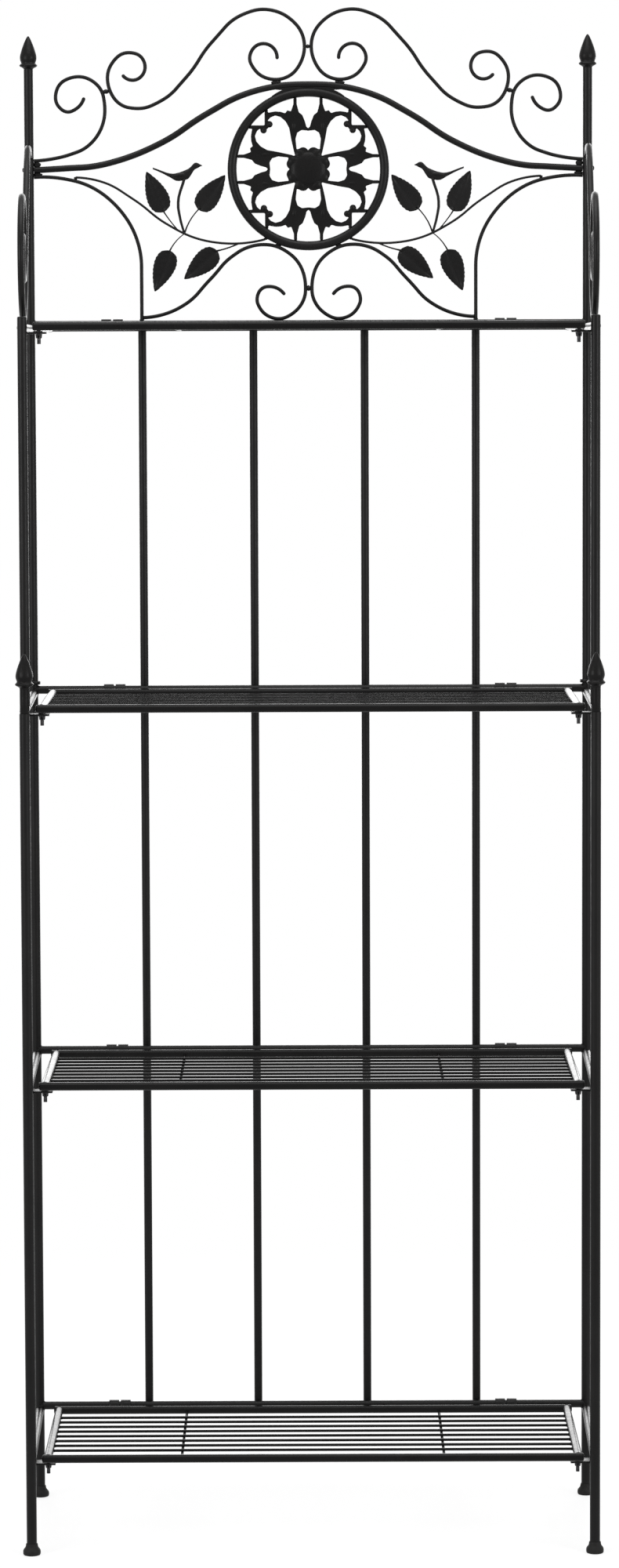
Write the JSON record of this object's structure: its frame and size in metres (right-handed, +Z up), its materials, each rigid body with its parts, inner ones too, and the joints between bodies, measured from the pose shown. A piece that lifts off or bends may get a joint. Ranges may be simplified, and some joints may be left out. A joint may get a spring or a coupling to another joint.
{
  "type": "bakers rack",
  "caption": "Free-standing bakers rack of black painted steel tube with hinged wire shelves, an arched scrollwork crest with a ring medallion, and spear finials.",
  "frame": {"origin": "on the floor, under the middle of the bounding box", "axes": "+Z up, +X to the right of someone facing the front, front toward -Y"},
  "size_m": [0.637, 0.2955, 1.6665],
  "materials": {
    "black_paint": "satin",
    "zinc": "satin"
  },
  "bodies": {
    "rack_frame": {"back_post_lower_left": "black_paint", "back_post_lower_right": "black_paint", "back_post_upper_left": "black_paint", "back_post_upper_right": "black_paint", "post_collars": "black_paint", "back_finials": "black_paint", "feet": "black_paint", "cross_rail_1": "black_paint", "cross_rail_2": "black_paint", "cross_rail_3": "black_paint", "cross_rail_4": "black_paint", "back_bars": "black_paint", "front_post_lower_left": "black_paint", "front_post_lower_right": "black_paint", "front_post_upper_left": "black_paint", "front_post_upper_right": "black_paint", "front_finials": "black_paint", "side_rungs_left": "black_paint", "side_rungs_right": "black_paint", "rest_tabs": "black_paint", "locating_studs": "zinc", "crest_arch": "black_paint", "medallion_ring": "black_paint", "medallion_rosette": "black_paint", "corner_scroll_left": "black_paint", "corner_scroll_right": "black_paint", "top_scroll_left": "black_paint", "top_scroll_right": "black_paint", "spandrel_arc_left": "black_paint", "spandrel_arc_right": "black_paint", "lower_scroll_left": "black_paint", "lower_scroll_right": "black_paint", "branches": "black_paint", "leaves": "black_paint", "birds": "black_paint", "weld_ties": "black_paint", "panel_screws": "black_paint", "side_scroll_left": "black_paint", "side_scroll_right": "black_paint"},
    "shelf_1": {"shelf_frame_1": "black_paint", "shelf_wires_1": "black_paint", "hinge_clips_1": "black_paint"},
    "shelf_2": {"shelf_frame_2": "black_paint", "shelf_wires_2": "black_paint", "hinge_clips_2": "black_paint"},
    "shelf_3": {"shelf_frame_3": "black_paint", "shelf_wires_3": "black_paint", "hinge_clips_3": "black_paint"},
    "shelf_4": {"shelf_frame_4": "black_paint", "shelf_wires_4": "black_paint", "hinge_clips_4": "black_paint"},
    "wing_nut_left_1": {"wing_nut_left_1": "zinc"},
    "wing_nut_left_2": {"wing_nut_left_2": "zinc"},
    "wing_nut_left_3": {"wing_nut_left_3": "zinc"},
    "wing_nut_left_4": {"wing_nut_left_4": "zinc"},
    "wing_nut_right_1": {"wing_nut_right_1": "zinc"},
    "wing_nut_right_2": {"wing_nut_right_2": "zinc"},
    "wing_nut_right_3": {"wing_nut_right_3": "zinc"},
    "wing_nut_right_4": {"wing_nut_right_4": "zinc"}
  },
  "joints": [
    {"name": "shelf_1_swing", "type": "hinge", "parent": "rack_frame", "child": "shelf_1", "pos_m": [0, 0.134, 0.104], "axis": [-1, 0, 0], "range_deg": [0, 88]},
    {"name": "shelf_2_swing", "type": "hinge", "parent": "rack_frame", "child": "shelf_2", "pos_m": [0, 0.134, 0.509], "axis": [-1, 0, 0], "range_deg": [0, 88]},
    {"name": "shelf_3_swing", "type": "hinge", "parent": "rack_frame", "child": "shelf_3", "pos_m": [0, 0.134, 0.914], "axis": [-1, 0, 0], "range_deg": [0, 88]},
    {"name": "shelf_4_swing", "type": "hinge", "parent": "rack_frame", "child": "shelf_4", "pos_m": [0, 0.134, 1.319], "axis": [-1, 0, 0], "range_deg": [0, 85]},
    {"name": "wing_nut_left_1_turn", "type": "hinge", "parent": "rack_frame", "child": "wing_nut_left_1", "pos_m": [-0.286, -0.10838, 0.091], "axis": [0, 0, 1], "continuous": true},
    {"name": "wing_nut_left_2_turn", "type": "hinge", "parent": "rack_frame", "child": "wing_nut_left_2", "pos_m": [-0.286, -0.10838, 0.496], "axis": [0, 0, 1], "continuous": true},
    {"name": "wing_nut_left_3_turn", "type": "hinge", "parent": "rack_frame", "child": "wing_nut_left_3", "pos_m": [-0.286, -0.10838, 0.901], "axis": [0, 0, 1], "continuous": true},
    {"name": "wing_nut_left_4_turn", "type": "hinge", "parent": "rack_frame", "child": "wing_nut_left_4", "pos_m": [-0.286, -0.10838, 1.306], "axis": [0, 0, 1], "continuous": true},
    {"name": "wing_nut_right_1_turn", "type": "hinge", "parent": "rack_frame", "child": "wing_nut_right_1", "pos_m": [0.286, -0.10838, 0.091], "axis": [0, 0, 1], "continuous": true},
    {"name": "wing_nut_right_2_turn", "type": "hinge", "parent": "rack_frame", "child": "wing_nut_right_2", "pos_m": [0.286, -0.10838, 0.496], "axis": [0, 0, 1], "continuous": true},
    {"name": "wing_nut_right_3_turn", "type": "hinge", "parent": "rack_frame", "child": "wing_nut_right_3", "pos_m": [0.286, -0.10838, 0.901], "axis": [0, 0, 1], "continuous": true},
    {"name": "wing_nut_right_4_turn", "type": "hinge", "parent": "rack_frame", "child": "wing_nut_right_4", "pos_m": [0.286, -0.10838, 1.306], "axis": [0, 0, 1], "continuous": true}
  ]
}
